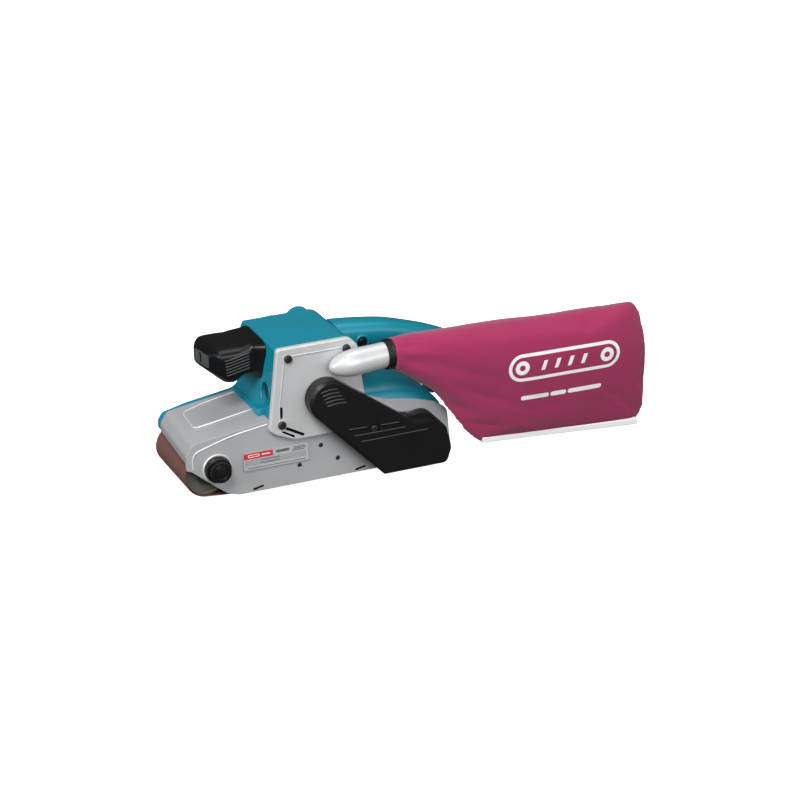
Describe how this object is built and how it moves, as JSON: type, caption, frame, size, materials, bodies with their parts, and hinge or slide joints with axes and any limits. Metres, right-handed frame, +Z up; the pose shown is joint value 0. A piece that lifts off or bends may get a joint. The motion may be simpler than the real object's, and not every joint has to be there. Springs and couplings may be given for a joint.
{
  "type": "handheld belt sander",
  "caption": "Handheld belt sander with an aluminium frame, teal motor housing and bow handle, black front grip, drive-belt cover and a cloth dust bag on a side outlet.",
  "frame": {"origin": "centre of the flat sanding face, on the belt under the middle of the platen", "axes": "+X to the rear, along the belt's travel towards the handle and the dust bag; +Y to the tool's right-hand side; +Z up, away from the work"},
  "size_m": [0.5317, 0.2085, 0.161],
  "materials": {
    "cast_silver": "matte",
    "teal_plastic": "satin",
    "black_plastic": "matte",
    "black_rubber": "matte",
    "roller_aluminium": "satin",
    "bare_steel": "satin",
    "dark_steel": "satin",
    "copper": "satin",
    "carbon": "matte",
    "abrasive_cloth": "matte",
    "bag_cloth": "matte",
    "white_plastic": "satin",
    "plate_foil": "satin"
  },
  "bodies": {
    "sander": {"main_frame": "cast_silver", "right_guard": "teal_plastic", "motor_housing": "teal_plastic", "motor_end_cap": "teal_plastic", "rear_housing": "teal_plastic", "side_plate": "cast_silver", "plate_screw_1": "dark_steel", "plate_screw_2": "dark_steel", "plate_screw_3": "dark_steel", "belt_cover": "black_plastic", "cover_screw": "dark_steel", "front_grip": "black_plastic", "grip_screw": "dark_steel", "rear_handle_left": "teal_plastic", "rear_handle_right": "teal_plastic", "switch_unit": "black_plastic", "cord_gland": "black_rubber", "platen_plate": "bare_steel", "platen_pad": "carbon", "drive_bearing_left": "bare_steel", "drive_bearing_right": "bare_steel", "lever_pin": "bare_steel", "stator": "dark_steel", "motor_bearing_left": "bare_steel", "motor_bearing_right": "bare_steel", "carbon_brush_front": "carbon", "carbon_brush_rear": "carbon", "brush_cap_front": "black_plastic", "brush_cap_rear": "black_plastic", "drive_belt": "black_rubber", "nameplate": "plate_foil", "wall_screw_1": "dark_steel", "wall_screw_2": "dark_steel", "wall_screw_3": "dark_steel", "tension_spring": "bare_steel"},
    "trigger": {"trigger": "black_plastic"},
    "lock_button": {"lock_button": "black_plastic"},
    "armature": {"armature_core": "dark_steel", "armature_shaft": "bare_steel", "commutator": "copper", "cooling_fan": "black_plastic", "motor_pulley": "roller_aluminium"},
    "drive_roller": {"drive_roller": "roller_aluminium", "drive_roller_sleeve": "black_rubber", "drive_shaft": "bare_steel", "driven_pulley": "roller_aluminium"},
    "tension_slide": {"tension_slide": "dark_steel", "steering_pin": "bare_steel"},
    "roller_yoke": {"roller_yoke": "dark_steel", "idler_axle": "bare_steel"},
    "front_roller": {"front_roller": "roller_aluminium", "idler_bearing_left": "bare_steel", "idler_bearing_right": "bare_steel"},
    "release_lever": {"release_lever": "dark_steel"},
    "tracking_knob": {"tracking_knob": "black_plastic", "tracking_screw": "bare_steel"},
    "sanding_belt": {"sanding_belt": "abrasive_cloth"},
    "bag_collar": {"bag_collar": "black_rubber"},
    "dust_bag": {"dust_bag": "bag_cloth"},
    "bag_strip": {"bag_strip": "white_plastic"}
  },
  "joints": [
    {"name": "trigger_squeeze", "type": "hinge", "parent": "sander", "child": "trigger", "pos_m": [0.0905, 0, 0.1262], "axis": [0, -1, 0], "range_deg": [0, 8], "stiffness_Nm_per_rad": 0.1, "springref_deg": -20.05},
    {"name": "lock_button_press", "type": "slide", "parent": "sander", "child": "lock_button", "axis": [0, 1, 0], "range_m": [0, 0.003], "stiffness_N_per_m": 150, "springref_m": -0.004},
    {"name": "armature_spin", "type": "hinge", "parent": "sander", "child": "armature", "pos_m": [0.014, 0, 0.098], "axis": [0, 1, 0], "continuous": true},
    {"name": "drive_roller_spin", "type": "hinge", "parent": "sander", "child": "drive_roller", "pos_m": [0.1165, 0, 0.027], "axis": [0, 1, 0], "continuous": true},
    {"name": "tension_slide_move", "type": "slide", "parent": "sander", "child": "tension_slide", "axis": [1, 0, 0], "range_m": [0, 0.008], "deforming": ["tension_spring"]},
    {"name": "yoke_steer", "type": "hinge", "parent": "tension_slide", "child": "roller_yoke", "pos_m": [-0.08, 0, 0.027], "axis": [0, 0, 1], "range_deg": [-0.45, 0.45]},
    {"name": "front_roller_spin", "type": "hinge", "parent": "roller_yoke", "child": "front_roller", "pos_m": [-0.1165, 0, 0.027], "axis": [0, 1, 0], "continuous": true},
    {"name": "release_lever_swing", "type": "hinge", "parent": "sander", "child": "release_lever", "pos_m": [-0.028, 0.04, 0.027], "axis": [0, 0, 1], "range_deg": [0, 90]},
    {"name": "tracking_knob_turn", "type": "hinge", "parent": "sander", "child": "tracking_knob", "pos_m": [-0.1075, -0.068, 0.037], "axis": [0, 1, 0], "range_deg": [-180, 180]},
    {"name": "sanding_belt_off", "type": "slide", "parent": "sander", "child": "sanding_belt", "axis": [0, 1, 0], "range_m": [0, 0.11]},
    {"name": "bag_collar_off", "type": "slide", "parent": "sander", "child": "bag_collar", "axis": [1, 0, 0], "range_m": [0, 0.04]},
    {"name": "dust_bag_swivel", "type": "hinge", "parent": "bag_collar", "child": "dust_bag", "pos_m": [0.085, -0.076, 0.137], "axis": [1, 0, 0], "range_deg": [-100, 0]},
    {"name": "bag_strip_off", "type": "slide", "parent": "dust_bag", "child": "bag_strip", "axis": [0.9982, 0, -0.0595], "range_m": [0, 0.195]}
  ],
  "couplings": [
    {"joint": "drive_roller_spin", "follows": "armature_spin", "ratio": 0.5},
    {"joint": "front_roller_spin", "follows": "armature_spin", "ratio": 0.53333},
    {"joint": "release_lever_swing", "follows": "tension_slide_move", "rad_per_m": 196.35},
    {"joint": "yoke_steer", "follows": "tracking_knob_turn", "ratio": 0.0025}
  ]
}
